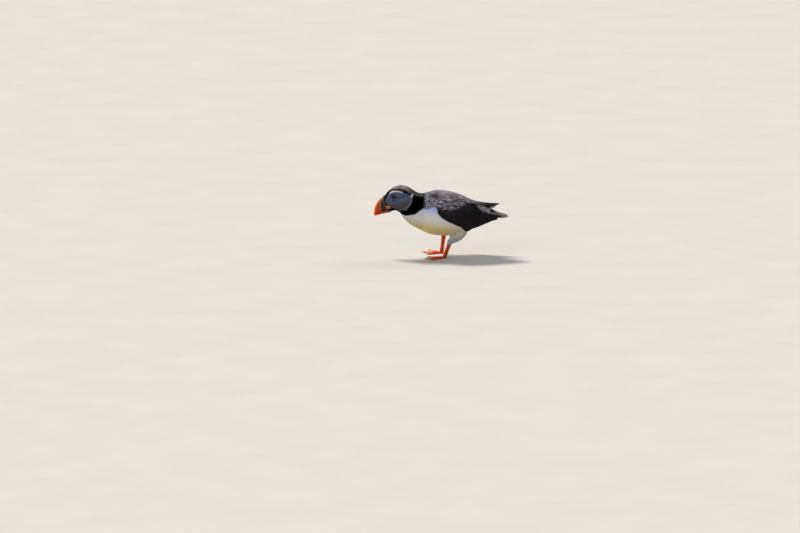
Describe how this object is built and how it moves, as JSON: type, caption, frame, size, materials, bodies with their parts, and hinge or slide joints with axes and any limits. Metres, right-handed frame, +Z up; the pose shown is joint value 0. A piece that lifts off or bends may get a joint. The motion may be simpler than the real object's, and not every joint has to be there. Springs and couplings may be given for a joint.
{
  "type": "atlantic puffin",
  "caption": "Still, life-size Atlantic puffin on two webbed feet, its body level, its head low and forward and its wings drooped.",
  "frame": {"origin": "on the floor, under the middle of the bounding box", "axes": "+Z up; -Y the way the bird faces; +X its left side"},
  "size_m": [0.1078, 0.269, 0.144],
  "materials": {
    "dark_plumage": "soft black feathers",
    "pale_plumage": "soft white feathers",
    "bill_red": "satin orange-red horn",
    "bill_slate": "satin blue-grey horn",
    "bill_cream": "matt cream horn ridge",
    "rosette": "wrinkled yellow-orange skin",
    "leg_skin": "moist scaly orange skin",
    "claw": "black horn",
    "eye": "wet dark brown eye"
  },
  "bodies": {
    "root": {"bill_cere": "bill_cream", "bill_lower_base": "bill_slate", "bill_lower_sheath": "bill_red", "bill_upper_base": "bill_slate", "bill_upper_sheath": "bill_red", "claw_left_inner": "claw", "claw_left_middle": "claw", "claw_left_outer": "claw", "claw_right_inner": "claw", "claw_right_middle": "claw", "claw_right_outer": "claw", "eye_left": "eye", "eye_right": "eye", "foot_left": "leg_skin", "foot_right": "leg_skin", "head": "dark_plumage", "neck": "dark_plumage", "rosette_left": "rosette", "rosette_right": "rosette", "rump": "dark_plumage", "tail": "dark_plumage", "tarsus_left": "leg_skin", "tarsus_right": "leg_skin", "thigh_left": "pale_plumage", "thigh_right": "pale_plumage", "trunk": "pale_plumage", "wing_left_coverts": "dark_plumage", "wing_left_primaries": "dark_plumage", "wing_left_secondaries": "dark_plumage", "wing_right_coverts": "dark_plumage", "wing_right_primaries": "dark_plumage", "wing_right_secondaries": "dark_plumage"}
  },
  "joints": []
}
